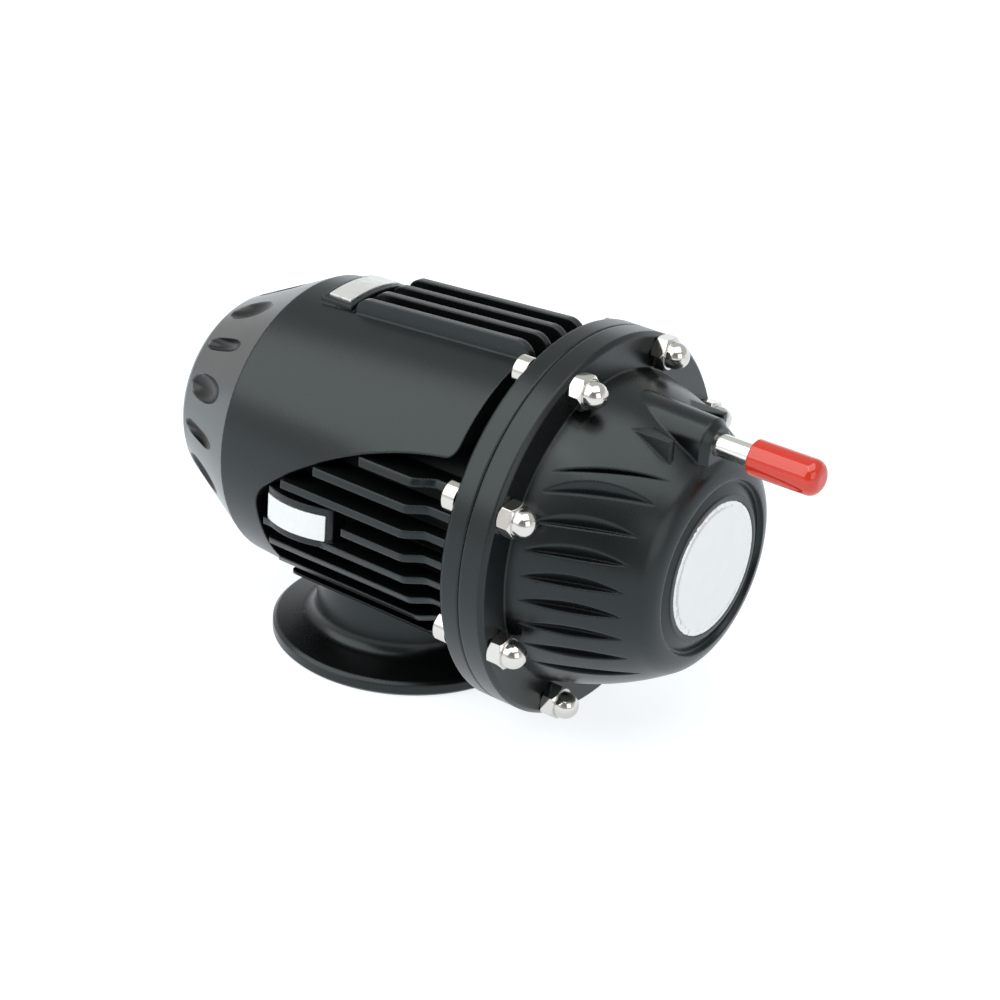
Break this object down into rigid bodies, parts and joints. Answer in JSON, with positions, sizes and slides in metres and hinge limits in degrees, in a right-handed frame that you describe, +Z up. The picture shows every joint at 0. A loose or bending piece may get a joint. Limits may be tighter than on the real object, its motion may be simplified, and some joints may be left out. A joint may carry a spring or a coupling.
{
  "type": "blow off valve",
  "caption": "Diaphragm-operated blow off valve with a finned body, a flanged inlet neck, a vented nose and a fluted cover with a capped vacuum nipple.",
  "frame": {"origin": "centre of the inlet bore at the base flange's flat face", "axes": "+Z up out of the base flange, +X along the valve's main axis towards the diaphragm cover"},
  "size_m": [0.1561, 0.088, 0.0907],
  "materials": {
    "black_casting": "matte black coating on a die casting, with a fine even texture",
    "satin_nose": "satin black anodised and turned",
    "dark_insert": "matte black",
    "bare_plate": "bright silver foil, left bare",
    "nickel_tube": "bright nickel plate on brass",
    "red_vinyl": "glossy soft red vinyl",
    "bronze_bush": "plain bronze",
    "black_rubber": "matte black rubber",
    "steel_shaft": "ground steel",
    "valve_alloy": "machined aluminium",
    "plate_alloy": "pressed aluminium",
    "spring_steel": "drawn spring wire",
    "zinc_hardware": "zinc plate",
    "chrome_fasteners": "polished nickel chrome"
  },
  "bodies": {
    "housing": {"body_casting": "black_casting", "nose_ring": "satin_nose", "outlet_insert": "dark_insert", "diaphragm_cover": "black_casting", "cover_badge": "bare_plate", "top_plate": "bare_plate", "side_plate": "bare_plate", "vacuum_nipple": "nickel_tube", "shaft_bush": "bronze_bush", "shaft_seal": "black_rubber", "diaphragm": "black_rubber", "main_spring": "spring_steel", "secondary_spring": "spring_steel", "cover_bolt_1": "chrome_fasteners", "cover_bolt_2": "chrome_fasteners", "cover_bolt_3": "chrome_fasteners", "cover_bolt_4": "chrome_fasteners", "cover_bolt_5": "chrome_fasteners", "cover_bolt_6": "chrome_fasteners", "cover_bolt_7": "chrome_fasteners", "cover_bolt_8": "chrome_fasteners", "dome_nut_1": "chrome_fasteners", "dome_nut_2": "chrome_fasteners", "dome_nut_3": "chrome_fasteners", "dome_nut_4": "chrome_fasteners", "dome_nut_5": "chrome_fasteners", "dome_nut_6": "chrome_fasteners", "dome_nut_7": "chrome_fasteners", "dome_nut_8": "chrome_fasteners"},
    "secondary_lifter": {"secondary_valve": "valve_alloy", "secondary_seal": "black_rubber"},
    "primary_lifter": {"valve_shaft": "steel_shaft", "primary_valve": "valve_alloy", "primary_seal": "black_rubber", "retaining_clip": "steel_shaft", "backing_plate": "plate_alloy", "spring_cup": "plate_alloy", "plate_washer": "zinc_hardware", "lock_nut": "zinc_hardware"},
    "cap": {"dust_cap": "red_vinyl"}
  },
  "joints": [
    {"name": "secondary_lift", "type": "slide", "parent": "housing", "child": "secondary_lifter", "axis": [1, 0, 0], "range_m": [0, 0.005], "stiffness_N_per_m": 900, "springref_m": -0.008, "deforming": ["secondary_spring", "main_spring", "diaphragm"]},
    {"name": "primary_lift", "type": "slide", "parent": "secondary_lifter", "child": "primary_lifter", "axis": [1, 0, 0], "range_m": [0, 0.003], "stiffness_N_per_m": 1600, "springref_m": -0.01, "deforming": ["main_spring", "diaphragm"]},
    {"name": "cap_pull", "type": "slide", "parent": "housing", "child": "cap", "axis": [1, 0, 0], "range_m": [0, 0.016]}
  ]
}
